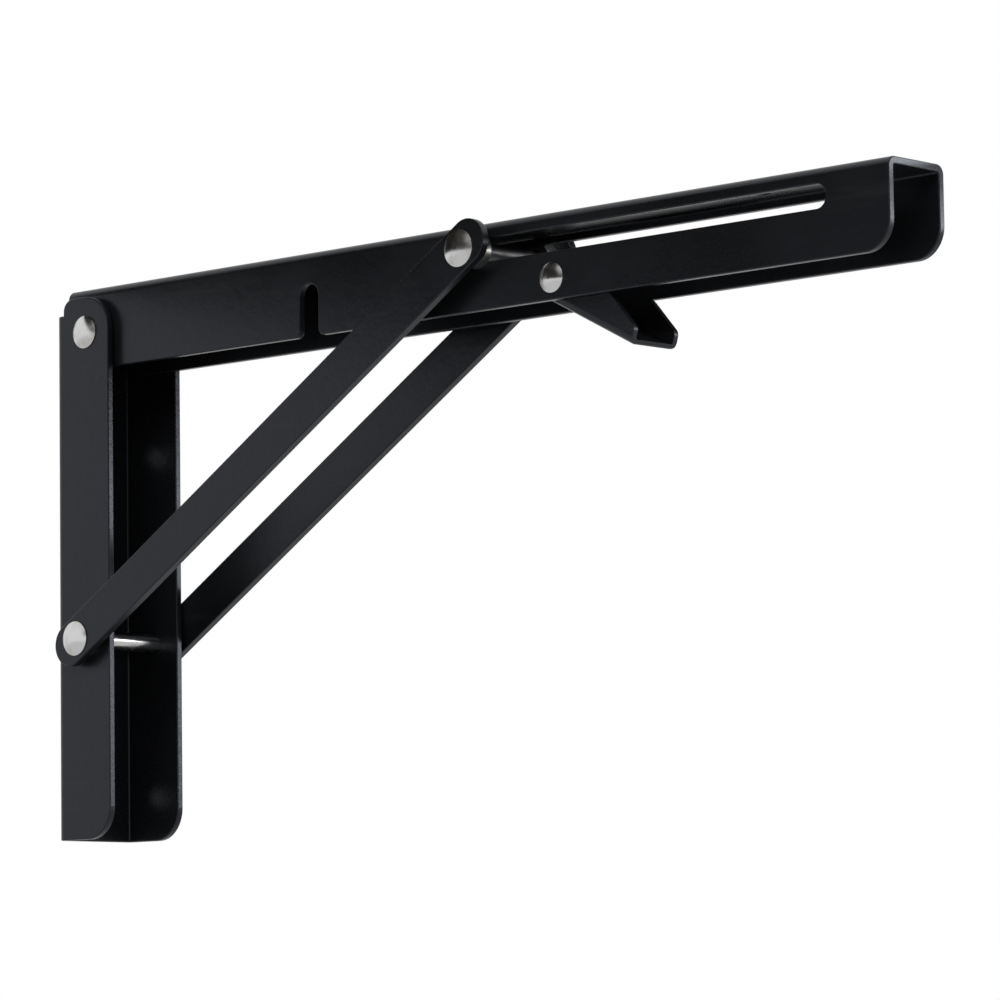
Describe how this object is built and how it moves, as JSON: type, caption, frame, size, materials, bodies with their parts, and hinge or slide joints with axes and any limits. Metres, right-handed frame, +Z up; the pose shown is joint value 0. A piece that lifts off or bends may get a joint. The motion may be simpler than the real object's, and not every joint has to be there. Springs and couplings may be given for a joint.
{
  "type": "folding shelf bracket",
  "caption": "Folding shelf bracket: hinged steel channel arms, a sliding pair of strut bars and a sprung release lever, screwed to a wall.",
  "frame": {"origin": "on the wall, midway between the two wall screw holes, on the bracket's centre plane", "axes": "+Z up, +Y into the wall, so the shelf arm reaches out along -Y; +X to the right along the wall"},
  "size_m": [0.0398, 0.3, 0.1562],
  "materials": {
    "arm_paint": "black powder coat, semi-gloss",
    "bar_paint": "black powder coat, semi-gloss",
    "lever_paint": "black powder coat, semi-gloss",
    "rivet_nickel": "bright nickel plate",
    "sleeve_zinc": "bright zinc plate, turned",
    "pin_steel": "dark oiled steel, worn bright where it slides",
    "washer_nylon": "black nylon",
    "spring_steel": "drawn spring wire, oiled"
  },
  "bodies": {
    "wall": {"wall_arm": "arm_paint", "hinge_pin": "rivet_nickel", "hinge_washer_left": "washer_nylon", "hinge_washer_right": "washer_nylon"},
    "shelf": {"shelf_arm": "arm_paint", "lever_pin": "rivet_nickel"},
    "strut": {"strut_left": "bar_paint", "strut_right": "bar_paint", "strut_pin": "rivet_nickel", "strut_spacer_left": "sleeve_zinc", "strut_spacer_right": "sleeve_zinc", "slide_rivet_left": "rivet_nickel", "slide_rivet_right": "rivet_nickel"},
    "slider": {"slide_pin": "pin_steel", "slide_spacer_left": "sleeve_zinc", "slide_spacer_right": "sleeve_zinc"},
    "lever": {"release_lever": "lever_paint", "lever_spring": "spring_steel"}
  },
  "joints": [
    {"name": "fold", "type": "hinge", "parent": "wall", "child": "shelf", "pos_m": [0, -0.0125, 0.081], "axis": [1, 0, 0], "range_deg": [0, 90]},
    {"name": "strut_swing", "type": "hinge", "parent": "wall", "child": "strut", "pos_m": [0, -0.0128, -0.006], "axis": [1, 0, 0], "range_deg": [0, 120.01]},
    {"name": "pin_slide", "type": "slide", "parent": "shelf", "child": "slider", "axis": [0, -1, 0], "range_m": [0, 0.11295]},
    {"name": "lever_press", "type": "hinge", "parent": "shelf", "child": "lever", "pos_m": [0, -0.1886, 0.0766], "axis": [-1, 0, 0], "range_deg": [-12, 25], "stiffness_Nm_per_rad": 0.06, "springref_deg": -40.11, "deforming": ["lever_spring"]}
  ],
  "couplings": [
    {"joint": "strut_swing", "follows": "fold", "ratio": 1.3333},
    {"joint": "pin_slide", "follows": "fold", "m_per_rad": 0.071894}
  ]
}
